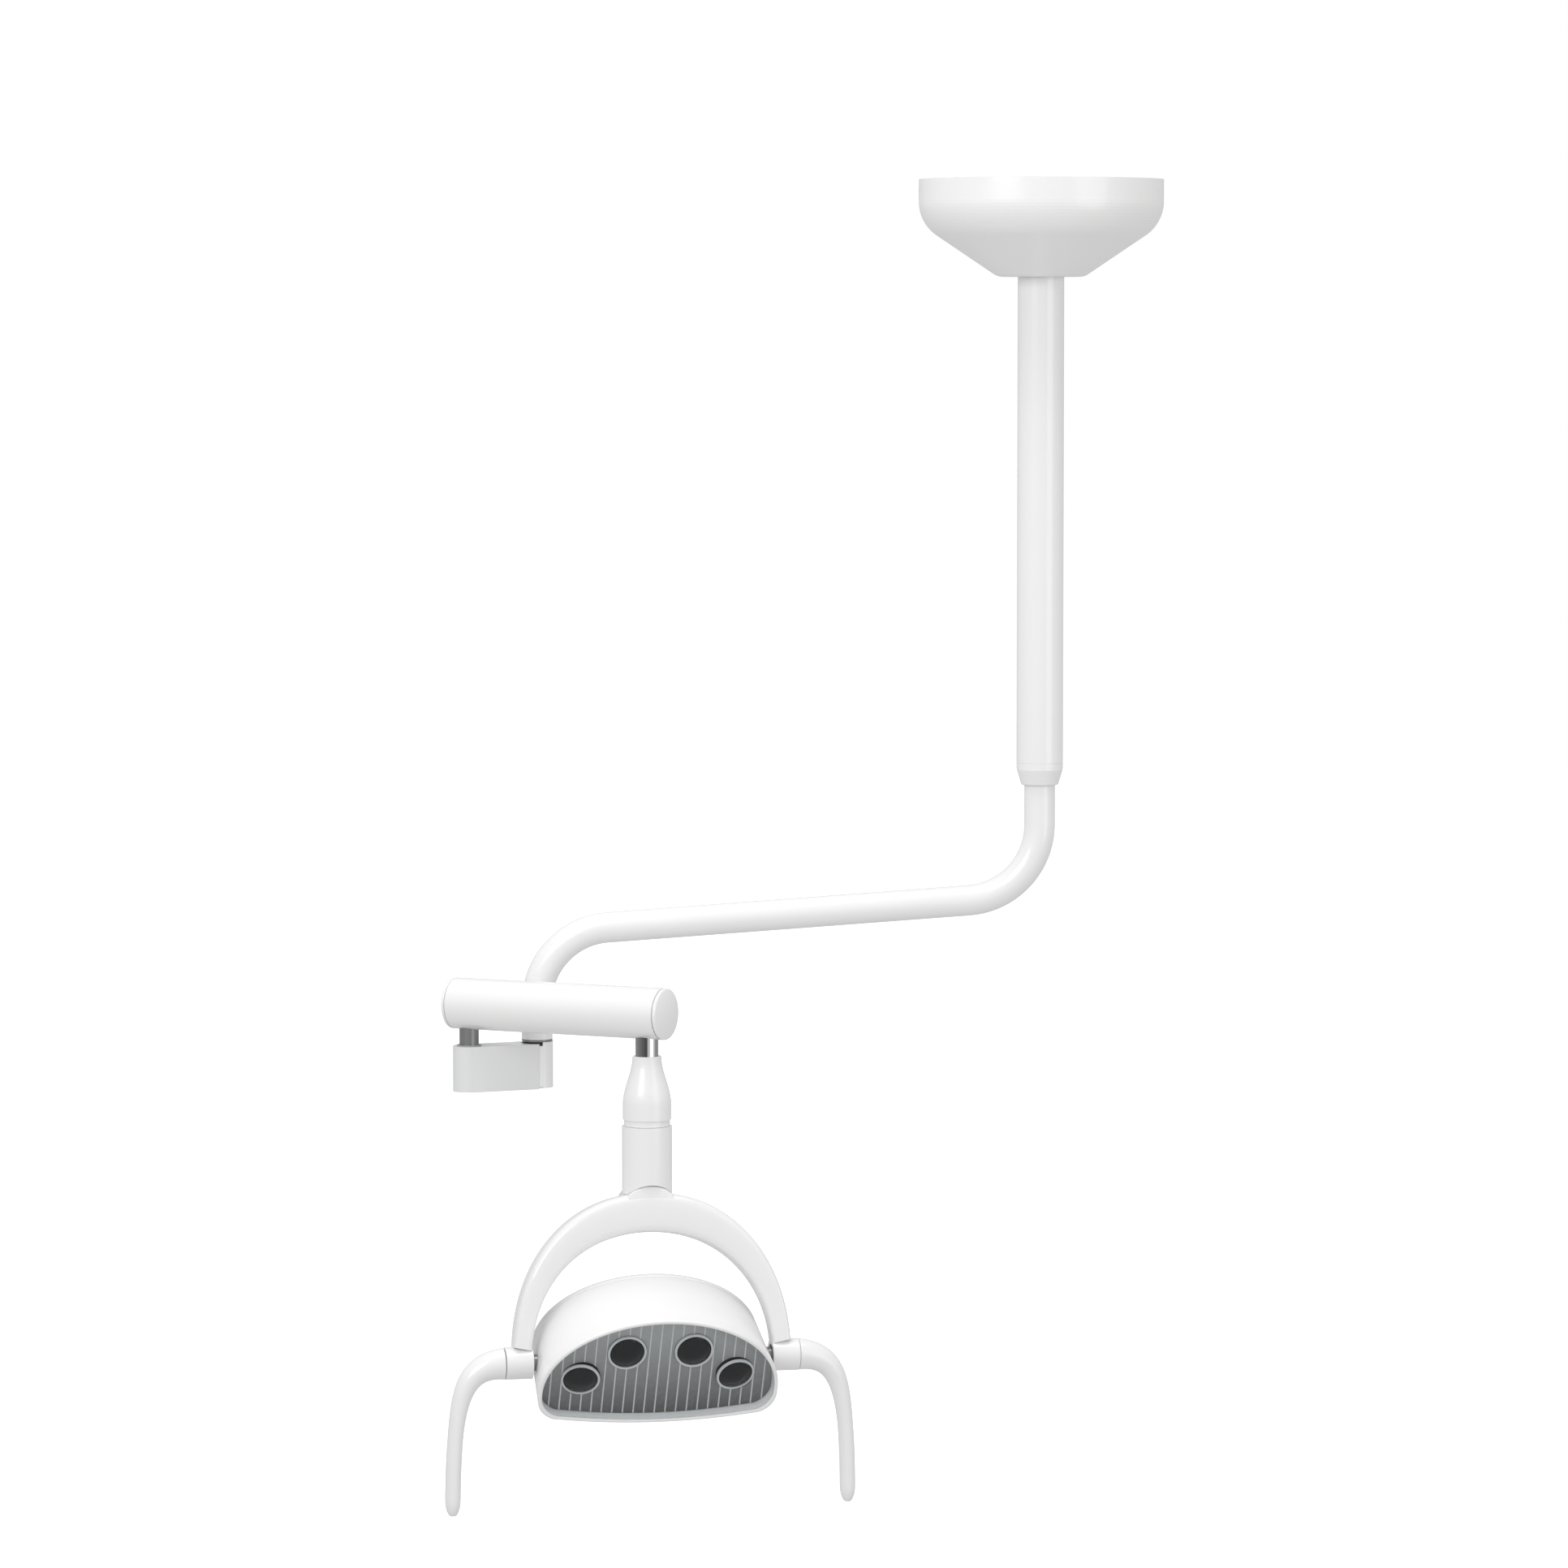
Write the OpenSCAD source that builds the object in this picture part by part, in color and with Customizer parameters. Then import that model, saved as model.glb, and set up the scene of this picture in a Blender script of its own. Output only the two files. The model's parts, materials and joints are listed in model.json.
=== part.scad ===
// Ceiling-mounted dental operating light.
// A column hangs from the ceiling, a bent boom swivels in its foot, a short link and a
// horizontal arm fold out from the boom, and a yoke carries the tilting lamp head.
// Origin: centre of the ceiling plate's upper face. +Z up, the front of the lamp looks along -Y.
// All sizes in millimetres and degrees.

/* [Ceiling mount] */
// Outside diameter of the canopy
canopy_d = 300; // [260:5:360]
// Wall of the canopy
canopy_wall = 3; // [2:0.5:4]
// Straight rim of the canopy
canopy_rim_h = 27; // [15:1:40]
// Radius of the canopy's shoulder
shoulder_r = 50; // [30:1:60]
// Slope of the canopy's cone, from the horizontal
cone_deg = 34; // [25:1:45]
// Radius of the canopy's flat foot
canopy_foot_r = 47; // [42:1:55]
// Diameter of the ceiling plate
plate_d = 240; // [230:5:250]
// Thickness of the ceiling plate
plate_t = 8; // [6:1:12]
// Pitch circle of the ceiling anchors
anchor_pcd = 200; // [190:5:210]
// Diameter of the ceiling anchor holes
anchor_hole_d = 11; // [9:1:13]

/* [Column] */
// Outside diameter of the column tube
column_d = 57; // [54:1:70]
// Wall of the column tube
column_wall = 2.5; // [2:0.5:3.5]
// Depth of the column's lower end below the ceiling
column_end = 715; // [500:5:1200]
// Height of the collar under the column
collar_h = 28; // [24:1:36]
// Diameter of the column's flange
flange_d = 130; // [126:2:140]
// Thickness of the column's flange
flange_t = 8; // [6:1:12]

/* [Boom] */
// Outside diameter of the boom tube
boom_d = 38; // [36:1:40]
// Wall of the boom tube
boom_wall = 2; // [1.5:0.5:3]
// Centre-line radius of the boom's two bends
bend_r = 94; // [80:2:110]
// Horizontal distance from the column axis to the boom's foot
boom_reach = 620; // [400:10:900]
// Fall of the boom's straight run, from the horizontal
boom_fall = 4.3; // [0:0.1:12]
// Straight drop of the boom below the collar, down to the first bend
boom_drop = 49; // [30:1:120]
// Length of the boom's spigot inside the column, above the collar
boom_spigot = 203; // [180:1:260]
// Straight end of the boom below the second bend
boom_tail = 44; // [44:1:80]

/* [Link] */
// Distance between the link's two pivots
link_span = 90; // [80:1:120]
// Width of the link's cover
link_w = 40; // [38:1:44]
// Height of the link's cover
link_h = 56; // [54:1:70]
// Wall of the link's cover
link_wall = 2.5; // [2:0.5:3]
// Direction of the link at rest, turned forward from the boom's line
link_yaw = 24; // [0:1:60]
// Diameter of the steel post that carries the arm
post_d = 24; // [22:1:26]

/* [Arm] */
// Outside diameter of the arm tube
arm_d = 63; // [60:1:70]
// Wall of the arm tube
arm_wall = 2; // [1.5:0.5:3]
// Distance between the post and the lamp stem
arm_span = 248; // [180:2:400]
// Gap between the link's cover and the underside of the arm
post_show = 20.5; // [15:0.5:40]
// Direction of the arm at rest, turned forward from the row's X axis
arm_yaw = 27; // [0:1:40]
// Distance from the post's axis to the left end of the tube
arm_tail = 17; // [17:1:30]
// Distance from the stem's axis to the right end of the tube
arm_nose = 22; // [20:1:40]

/* [Neck] */
// Diameter of the chromed stem
stem_d = 28; // [26:1:30]
// Stem that shows between the arm and the neck cone
stem_show = 20.5; // [10:0.5:60]
// Length of the neck cone
cone_len = 77; // [60:1:100]
// Upper diameter of the neck cone
cone_top_d = 35.5; // [34:0.5:40]
// Lower diameter of the neck cone
cone_low_d = 59; // [58:1:64]
// Height of the swivel ring between cone and neck
ring_h = 8; // [5:1:12]
// Diameter of the swivel ring
ring_d = 56; // [50:1:57]
// Diameter of the neck shell
neck_d = 61; // [60:1:66]
// Length of the neck shell, from its top to its lower corners
neck_len = 82; // [80:1:100]
// Radius of the saddle between neck and yoke
saddle_r = 36; // [34:1:40]

/* [Yoke] */
// Half width of the yoke's outer curve at the pivots
yoke_out_a = 171; // [168:1:200]
// Height of the yoke's outer curve above the pivots
yoke_out_b = 201; // [195:1:240]
// Half width of the yoke's inner curve at the pivots
yoke_in_a = 148.5; // [148:0.5:178]
// Height of the yoke's inner curve above the pivots
yoke_in_b = 153; // [140:1:190]
// Depth of the yoke from front to back, at its crown
yoke_depth = 54; // [48:1:58]
// Depth of the yoke's legs at the pivots
yoke_leg_depth = 34; // [28:1:36]
// Wall of the yoke's shells
yoke_wall = 3; // [2:0.5:4]
// How far the head's pivots lie in front of the stem
pivot_ahead = 28; // [0:1:40]
// Direction of the yoke at rest, turned to the right
yoke_yaw = 12; // [0:1:40]
// Diameter of the pivot hubs
hub_d = 39; // [36:1:44]
// Inner face of the pivot hubs, from the middle of the yoke
hub_in = 147.7; // [147.5:0.1:178]
// Length of the pivot hubs
hub_len = 33; // [30:1:40]

/* [Head] */
// Half width of the lamp head's front
head_a = 147; // [120:1:147]
// Height of the head's crown above its widest line
head_b = 103; // [90:1:110]
// Depth of the head's front edge below its widest line
head_low = 33; // [30:1:50]
// Radius of the head's two lower corners
head_corner_r = 30; // [22:1:36]
// Width of the head's back, as a share of its front
head_taper = 0.955; // [0.9:0.005:1]
// Head in front of the pivots
head_front = 56; // [50:1:70]
// Head shell behind the pivots
head_rear = 44; // [30:1:50]
// Depth of the rear cover
rear_cover_h = 20; // [14:1:30]
// Wall of the head's shells
head_wall = 3; // [2:0.5:4]
// How far the head's widest line lies below the pivots
head_sink = 8; // [0:1:16]
// Tilt of the head at rest: its front looks this far below the horizon
head_down = 27; // [0:1:60]

/* [Optics] */
// Diameter of each lens
lens_d = 42; // [36:1:44]
// Width of the ring round each lens
lens_ring_w = 2.6; // [2:0.2:3]
// Height of each lens dome
lens_dome = 7; // [5:0.5:9]
// Sideways place of the two inner lenses
inner_lens_x = 41; // [38:1:46]
// Height of the two inner lenses above the pivots
inner_lens_z = 42; // [36:1:46]
// Distance of the two outer lenses from the head's widest point
outer_lens_in = 52; // [49:1:55]
// Height of the two outer lenses above the pivots
outer_lens_z = 5; // [2:1:10]
// Outward turn of the outer lenses
outer_lens_turn = 6; // [0:1:8]
// Downward turn of the outer lenses
outer_lens_drop = 8; // [0:1:8]
// Thickness of the clear front cover
cover_t = 2.5; // [2:0.5:4]

/* [Handles] */
// Length of each handle below the pivot axis
handle_len = 197; // [160:2:240]
// Largest distance of the handles from the middle of the head
handle_out = 244; // [236:1:260]
// How far the handles spread between elbow and tip
handle_splay = 26; // [0:1:40]
// How far the handles lean backward from the head's plane
handle_lean = -26; // [-40:1:20]

/* [Fits] */
// Radial running clearance of a shaft in its bush
run_fit = 0.05; // [0.02:0.01:0.1]
// Gap between faces that pass each other
face_gap = 0.3; // [0.2:0.05:0.6]
// Radial clearance round a tube that passes through a cover
pass_gap = 0.5; // [0.3:0.1:1]

/* [Hidden] */
$fn = 64;
white = "whitesmoke";
steel = "silver";
bush_colour = "dimgray";
eps = 0.01;
bush_wall = 4;

// Ceiling mount
canopy_r = canopy_d / 2;
foot_fillet = 20;
cable_hole_r = 20;
flange_bolt_pcd = 104;
m8_r = 4;
m8_head_af = 13;
m8_head_h = 5.3;
m4_r = 2;
tab_half_w = 10;
tab_t = 3;
tab_low = 24;
screw_z = -16;
screw_seat = 2;
supply_size = [36, 96, 26];
supply_x = 74;
ear_t = 3;
ear_len = 12;
terminal_size = [22, 44, 18];
terminal_x = -96;

// Column and its bearing
column_r = column_d / 2;
column_ir = column_r - column_wall;
sleeve_wall = 3;
sleeve_ir = column_ir - sleeve_wall;
collar_low = column_end + collar_h;
sleeve_out = 11;
sleeve_low = column_end + sleeve_out;
washer_h = 6;
lock_ring_h = 16;
boom_r = boom_d / 2;
boom_ir = boom_r - boom_wall;
boom_top = collar_low - boom_spigot;
lock_pin_r = 3;
lock_clear = 3;
sleeve_top = boom_top + lock_clear + lock_ring_h + washer_h;
bush_h = 30;
brake_z = -(sleeve_low - bush_h - 14);
brake_r = 4;

// Boom line
bend1_z = collar_low + boom_drop;
bend_turn = 90 - boom_fall;
bend_dx = bend_r * (1 - cos(bend_turn));
bend_dz = bend_r * sin(bend_turn);
run_dx = boom_reach - 2 * bend_dx;
run_len = run_dx / cos(boom_fall);
bend2_z = bend1_z + 2 * bend_dz + run_dx * tan(boom_fall);
boom_low = bend2_z + boom_tail;
foot_flange_h = 2.7;
foot_plug = 36;

// Link
link_top = boom_low + foot_flange_h + face_gap + 2;
link_low = link_top + link_h;
boss_r = link_w / 2;
boss_top = boom_low + foot_flange_h;
boss_low = link_low - 1;
foot_journal_r = 13;
foot_thread_r = 8;
foot_bore_r = 5;
link_bush_r = foot_journal_r + bush_wall;
link_bush_h = 16;
foot_journal_low = boss_low - 11;
foot_washer_h = 2;
foot_nut_h = 4.5;
cap_h = 3.5;
cover_from = 5;
post_r = post_d / 2;
post_ring_w = 3;
post_ring_h = 1.5;

// Arm
arm_r = arm_d / 2;
arm_ir = arm_r - arm_wall;
arm_under = link_top - post_show;
arm_z = arm_under - arm_r;
cap_rim = 6;
cap_crown_left = 1;
cap_crown_right = 4;
cap_edge = 3;
cap_plug = 3;
block_half = 15;
post_journal_r = 10;
post_thread_r = 6;
post_shoulder = arm_under - 5.5;
block_top = arm_z - 6;
nut_h = 8;
block_screw_r = 2.5;
link_a = 180 + link_yaw;
post_xy = [-boom_reach + link_span * cos(link_a), link_span * sin(link_a)];
stem_xy = post_xy + arm_span * [cos(arm_yaw), -sin(arm_yaw)];

// Neck
stem_r = stem_d / 2;
stem_bore_r = 6;
stem_thread_r = 10;
stem_shoulder = arm_under - 11;
neck_wall = 3;
cone_top = arm_under + stem_show;
cone_low = cone_top + cone_len;
cone_flare = 58;
cone_boss_h = 6;
ring_low = cone_low + ring_h;
neck_top = ring_low;
neck_low = neck_top + neck_len;
journal_r = 10;
journal_thread_r = 8;
housing_r = 22;
housing_bush_r = journal_r + bush_wall;
housing_bush_h = 20;
journal_low = neck_top + 53;
journal_washer_h = 2;
journal_nut_h = 8;
housing_low = neck_top + 77;
yoke_top = neck_low;
saddle_z = neck_top + 70 + saddle_r;
saddle_gap = 0.4;

// Yoke
lean = asin(pivot_ahead / yoke_out_b);
pivot_z = yoke_top + yoke_out_b * cos(lean);
yoke_power = 2.15;
seam_over = 6;
core_t = 8;
core_inset = 5;
core_plate_h = 12;
core_screw_in = 3.5;
core_plate_z = housing_low;
hub_r = hub_d / 2;
tilt_shaft_r = 10;
tilt_bush_r = tilt_shaft_r + 3;

// Head
bow = 14;
front_face = -head_front;
plate_y = front_face + 14;
plate_thick = 1.5;
frame_y = -12;
frame_t = 3;
frame_inset = 8;
cup_len = 22;
sink_base = 5;
sink_fin = 20;
sink_w = 150;
sink_h = 56;
fin_t = 2;
fins = 12;
ear_x = head_a - 25;
ear_w = 4;
ear_r = 18;
shaft_collar_r = 14;
shaft_bore_r = 6;
shaft_nut_r = 15.6;
outer_lens_x = head_a - outer_lens_in;
lens_places = [
    [-outer_lens_x, outer_lens_z, -outer_lens_turn, outer_lens_drop],
    [-inner_lens_x, inner_lens_z, 0, 0],
    [inner_lens_x, inner_lens_z, 0, 0],
    [outer_lens_x, outer_lens_z, outer_lens_turn, outer_lens_drop]
];

// Handles
handle_from = hub_in + hub_len + face_gap;
handle_elbow = handle_out - handle_from - handle_splay;
handle_bore_len = 24;
grip_w = 9.5;
grip_depth = 13;
handle_rings = 30;
handle_sides = 24;

// ---------- frames ----------
module at_link() translate([-boom_reach, 0, 0]) rotate([0, 0, link_a]) children();
module at_arm() translate([post_xy[0], post_xy[1], 0]) rotate([0, 0, -arm_yaw]) children();
module at_stem() translate([stem_xy[0], stem_xy[1], 0]) rotate([0, 0, yoke_yaw]) children();
module at_pivot() at_stem() translate([0, -pivot_ahead, -pivot_z]) children();
module at_yoke() at_pivot() rotate([-lean, 0, 0]) children();
module at_head() at_pivot() rotate([head_down, 0, 0]) children();

// ---------- shared shapes ----------
// A cylinder between two depths below the ceiling.
module post_between(r, top, low) translate([0, 0, -low]) cylinder(r = r, h = low - top);
module ring_between(r_out, r_in, top, low) difference() {
    post_between(r_out, top, low);
    post_between(r_in, top - 1, low + 1);
}
module hex_between(af, top, low) translate([0, 0, -low]) cylinder(r = af / sqrt(3), h = low - top, $fn = 6);
module along_x(r, from, to) translate([from, 0, 0]) rotate([0, 90, 0]) cylinder(r = r, h = to - from);
module along_y(r, from, to) translate([0, from, 0]) rotate([-90, 0, 0]) cylinder(r = r, h = to - from);

// Points of an arc about a centre.
function arc(cx, cy, r, a0, a1, n = 12) =
    [for (i = [0 : n]) let (a = a0 + (a1 - a0) * i / n) [cx + r * cos(a), cy + r * sin(a)]];

// ---------- ceiling mount ----------
// The canopy's section, drawn at a distance t inside its outer skin.
function canopy_line(t) =
    let (
        turn = 90 - cone_deg,
        shoulder_x = canopy_r - shoulder_r,
        run_r = shoulder_x + shoulder_r * cos(turn),
        run_z = -canopy_rim_h - shoulder_r * sin(turn),
        fillet_x = canopy_foot_r,
        fall = (run_r - fillet_x - foot_fillet * sin(cone_deg)) * tan(cone_deg),
        floor_z = run_z - fall - foot_fillet * (1 - cos(cone_deg))
    )
    concat(
        arc(shoulder_x, -canopy_rim_h, shoulder_r - t, 0, -turn),
        arc(fillet_x, floor_z + foot_fillet, foot_fillet - t, -90 + cone_deg, -90)
    );
function canopy_floor(t) = canopy_line(t)[len(canopy_line(t)) - 1][1];

module canopy() color(white) difference() {
    rotate_extrude($fn = 96) polygon(concat(
        [[canopy_r, 0]], canopy_line(0),
        [[column_r + pass_gap, canopy_floor(0)], [column_r + pass_gap, canopy_floor(canopy_wall)]],
        [for (i = [len(canopy_line(canopy_wall)) - 1 : -1 : 0]) canopy_line(canopy_wall)[i]],
        [[canopy_r - canopy_wall, 0]]
    ));
    for (s = [0, 180]) rotate([0, 0, s]) translate([0, 0, screw_z]) {
        along_x(m4_r + 0.3, canopy_r - 10, canopy_r + 10);
        along_x(2 * m4_r + 0.2, canopy_r - screw_seat, canopy_r + 10);
    }
}

module ceiling_plate() color(steel) difference() {
    tab_x = canopy_r - canopy_wall - 0.4;
    union() {
        post_between(plate_d / 2, 0, plate_t);
        for (s = [0, 180]) rotate([0, 0, s]) {
            translate([plate_d / 2 - 12, -tab_half_w, -plate_t])
                cube([tab_x - plate_d / 2 + 12, 2 * tab_half_w, tab_t]);
            translate([tab_x - tab_t, -tab_half_w, -tab_low])
                cube([tab_t, 2 * tab_half_w, tab_low - plate_t + tab_t]);
        }
    }
    for (a = [45 : 90 : 315]) rotate([0, 0, a]) translate([anchor_pcd / 2, 0, 0])
        post_between(anchor_hole_d / 2, -1, plate_t + 1);
    for (a = [0 : 90 : 270]) rotate([0, 0, a]) translate([flange_bolt_pcd / 2, 0, 0])
        post_between(m8_r, -1, plate_t + 1);
    post_between(cable_hole_r, -1, plate_t + 1);
    for (s = [0, 180]) rotate([0, 0, s]) translate([0, 0, screw_z])
        along_x(m4_r, tab_x - tab_t - 1, tab_x + 1);
}

module canopy_screws() color(steel) for (s = [0, 180]) rotate([0, 0, s]) translate([0, 0, screw_z]) {
    along_x(m4_r, canopy_r - 12, canopy_r - screw_seat + eps);
    along_x(2 * m4_r, canopy_r - screw_seat, canopy_r - 0.2);
}

module flange_bolts() color(steel)
    for (a = [0 : 90 : 270]) rotate([0, 0, a]) translate([flange_bolt_pcd / 2, 0, 0]) {
    post_between(m8_r, 1, plate_t + flange_t + eps);
    hex_between(m8_head_af, plate_t + flange_t, plate_t + flange_t + m8_head_h);
}

module power_supply() color("lightgray") difference() {
    union() {
        translate([supply_x, -supply_size[1] / 2, -plate_t - supply_size[2]]) cube(supply_size);
        translate([supply_x + 8, -supply_size[1] / 2 - ear_len, -plate_t - ear_t])
            cube([20, supply_size[1] + 2 * ear_len, ear_t]);
    }
    for (s = [-1, 1]) translate([supply_x + 18, s * (supply_size[1] + ear_len) / 2, 0])
        post_between(m4_r + 0.3, 0, plate_t + ear_t + 1);
}

module terminal_block() color("ivory") difference() {
    translate([terminal_x, -terminal_size[1] / 2, -plate_t - terminal_size[2]]) cube(terminal_size);
    for (i = [-1 : 1]) translate([0, i * 13, -plate_t - 10]) along_x(2.5, terminal_x - 1, terminal_x + 8);
    for (i = [-1 : 1]) translate([terminal_x + 15, i * 13, 0]) post_between(2, plate_t + 10, plate_t + 30);
}

module supply_screws() color(steel) for (s = [-1, 1])
    translate([supply_x + 18, s * (supply_size[1] + ear_len) / 2, 0]) {
        post_between(m4_r, plate_t, plate_t + ear_t + eps);
        post_between(2 * m4_r, plate_t + ear_t, plate_t + ear_t + 2.5);
    }

// ---------- column ----------
module column_tube() color(white) difference() {
    union() {
        post_between(column_r, plate_t, column_end);
        post_between(flange_d / 2, plate_t, plate_t + flange_t);
    }
    post_between(column_ir, plate_t - 1, column_end + 1);
    for (a = [0 : 90 : 270]) rotate([0, 0, a]) translate([flange_bolt_pcd / 2, 0, 0])
        post_between(m8_r + 0.5, plate_t - 1, plate_t + flange_t + 1);
    translate([0, 0, brake_z]) along_y(brake_r, 0, column_r + 1);
}

module bearing_sleeve() color(steel) difference() {
    post_between(column_ir, sleeve_top, sleeve_low);
    post_between(sleeve_ir, sleeve_top - 1, sleeve_low + 1);
    translate([0, 0, brake_z]) along_y(brake_r, 0, column_r);
}

module column_bushes() color(bush_colour) {
    ring_between(sleeve_ir, boom_r + run_fit, sleeve_top, sleeve_top + bush_h);
    ring_between(sleeve_ir, boom_r + run_fit, sleeve_low - bush_h, sleeve_low);
}

module thrust_washer() color("goldenrod")
    ring_between(column_ir - 1, boom_r + 0.6, sleeve_top - washer_h, sleeve_top);

module collar() color(white) rotate_extrude($fn = 96) {
    waist = collar_low - 3;
    polygon(concat(
        [[column_ir, -column_end], [column_r - 0.5, -column_end], [column_r - 0.1, -column_end - 0.5],
         [column_r - 0.1, -column_end - 9]],
        arc(column_r - 8, -waist, 3, 0, -90, 8),
        [[boom_r + pass_gap, -collar_low], [boom_r + pass_gap, -sleeve_low], [column_ir, -sleeve_low]]
    ));
}

module brake_screw() color(steel) translate([0, 0, brake_z]) {
    along_y(brake_r, boom_r + run_fit, sleeve_ir + 1);
    difference() {
        along_y(brake_r, sleeve_ir + 1, column_r - 0.5);
        translate([0, column_r - 4, 0]) rotate([-90, 0, 0]) cylinder(r = 2.3, h = 5, $fn = 6);
    }
}

// ---------- boom ----------
// A rod of radius r along the boom's centre line, carried past both ends by extra.
module boom_bend(r) rotate_extrude(angle = bend_turn, $fn = 96) translate([bend_r, 0]) circle(r = r);
// Children stand at the far end of a bend, their Z axis along the tube.
module past_bend() rotate([0, 0, bend_turn]) translate([bend_r, 0, 0]) rotate([-90, 0, 0]) children();
module boom_line(r, extra = 0) {
    post_between(r, boom_top - extra, bend1_z);
    translate([-bend_r, 0, -bend1_z]) rotate([-90, 0, 0]) {
        boom_bend(r);
        past_bend() {
            cylinder(r = r, h = run_len);
            translate([bend_r, 0, run_len]) rotate([90, 0, 180]) {
                boom_bend(r);
                past_bend() cylinder(r = r, h = boom_tail + extra);
            }
        }
    }
}

module boom_tube() color(white) difference() {
    boom_line(boom_r);
    boom_line(boom_ir, 1);
    translate([0, 0, -boom_top - lock_clear - lock_ring_h / 2]) along_x(lock_pin_r, -boom_r - 1, boom_r + 1);
}

module boom_lock_ring() color(steel) difference() {
    ring_between(column_ir - 1, boom_r, boom_top + lock_clear, boom_top + lock_clear + lock_ring_h);
    translate([0, 0, -boom_top - lock_clear - lock_ring_h / 2]) along_x(lock_pin_r, -column_r, column_r);
}

module boom_lock_pin() color(steel) translate([0, 0, -boom_top - lock_clear - lock_ring_h / 2])
    along_x(lock_pin_r, -column_ir + 1.5, column_ir - 1.5);

module boom_foot() color(steel) translate([-boom_reach, 0, 0]) difference() {
    union() {
        post_between(boom_ir, boom_low - foot_plug, boom_low);
        post_between(boom_r, boom_low, boss_top);
        post_between(foot_journal_r, boss_top, foot_journal_low);
        post_between(foot_thread_r, foot_journal_low, boss_low - cap_h - 0.6);
    }
    post_between(foot_bore_r, boom_low - foot_plug - 1, boss_low);
}

module foot_nut() color(steel) translate([-boom_reach, 0, 0]) difference() {
    union() {
        post_between(link_bush_r - 1.5, foot_journal_low, foot_journal_low + foot_washer_h);
        hex_between(24, foot_journal_low + foot_washer_h, foot_journal_low + foot_washer_h + foot_nut_h);
    }
    post_between(foot_thread_r, foot_journal_low - 1, boss_low);
}

// ---------- link ----------
// A bar from x0 to the far pivot, with a round end there.
module stadium(r, top, low, x0 = 0) {
    translate([link_span, 0, 0]) post_between(r, top, low);
    translate([x0, -r, -low]) cube([link_span - x0, 2 * r, low - top]);
}

module link_bar() color(white) at_link() difference() {
    inner_r = boss_r - link_wall;
    union() {
        difference() {
            post_between(boss_r - 0.3, boss_top + face_gap, boss_low);
            for (s = [-1, 1]) translate([cover_from, s > 0 ? inner_r : -inner_r - 10, -link_low - 1])
                cube([boss_r, 10, link_h + 10]);
            translate([0, -link_w, -link_top - link_wall]) cube([link_w, 2 * link_w, 20]);
            translate([0, -link_w, -link_low]) cube([link_w, 2 * link_w, link_wall]);
        }
        intersection() {
            translate([0, -link_w / 2, -link_low + link_wall])
                cube([link_span + boss_r, link_w, link_h - 2 * link_wall]);
            stadium(inner_r, link_top + link_wall, link_low - link_wall);
        }
    }
    post_between(link_bush_r, boss_top - 1, link_low + 1);
    translate([link_span, 0, 0]) post_between(post_r, link_top, link_low - link_wall - 3);
    for (x = [32, 62]) translate([x, 0, 0]) post_between(m4_r, link_low - 20, link_low);
}

module link_cover() color(white) at_link() difference() {
    stadium(boss_r, link_top, link_low - link_wall, cover_from);
    stadium(boss_r - link_wall, link_top + link_wall, link_low, -link_w);
    post_between(boss_r - 0.3, link_top - 1, link_top + link_wall + 1);
    translate([link_span, 0, 0]) post_between(post_r + face_gap, link_top - 1, link_low);
}

module link_base() color(white) at_link() difference() {
    stadium(boss_r, link_low - link_wall, link_low, cover_from);
    post_between(boss_r - 0.3, link_top, link_low + 1);
    for (x = [32, 62]) translate([x, 0, 0]) post_between(m4_r + 0.3, link_low - 20, link_low + 1);
}

module link_cap() color(white) at_link() post_between(link_bush_r, boss_low - cap_h, boss_low);

module link_bushes() color(bush_colour) at_link() {
    ring_between(link_bush_r, foot_journal_r + run_fit, boss_top + face_gap, boss_top + face_gap + link_bush_h);
    ring_between(link_bush_r, foot_journal_r + run_fit, foot_journal_low - link_bush_h, foot_journal_low);
}

module base_screws() color(steel) at_link() for (x = [32, 62]) translate([x, 0, 0]) {
    post_between(m4_r, link_low - 16, link_low + eps);
    post_between(2 * m4_r, link_low, link_low + m4_r);
}

module post_ring() color("lightgray") at_link() translate([link_span, 0, 0])
    ring_between(post_r + post_ring_w, post_r, link_top - post_ring_h, link_top);

module arm_post() color("gray") translate([post_xy[0], post_xy[1], 0]) {
    post_between(post_r, post_shoulder, link_low - link_wall - 3);
    post_between(post_journal_r, block_top, post_shoulder);
    post_between(post_thread_r, block_top - nut_h - 3, block_top);
}

module post_nut() color(steel) translate([post_xy[0], post_xy[1], 0]) difference() {
    union() {
        post_between(post_journal_r + bush_wall - 1, block_top - 2, block_top);
        hex_between(18, block_top - nut_h, block_top - 2);
    }
    post_between(post_thread_r, block_top - 20, block_top + 1);
}

// ---------- arm ----------
module at_tube() at_arm() translate([0, 0, -arm_z]) children();

module arm_tube() color(white) difference() {
    at_tube() difference() {
        along_x(arm_r, -arm_tail, arm_span + arm_nose);
        along_x(arm_ir, -arm_tail - 1, arm_span + arm_nose + 1);
    }
    at_arm() {
        post_between(post_r + pass_gap, arm_z, arm_under + 5);
        translate([arm_span, 0, 0]) post_between(stem_r, arm_z, arm_under + 5);
        for (x = screw_xs()) translate([x, 0, -arm_z - 6]) along_y(block_screw_r + 0.3, 0, arm_r + 1);
    }
}
function screw_xs() = [block_half - 1, arm_span - block_half + 1];

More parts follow.
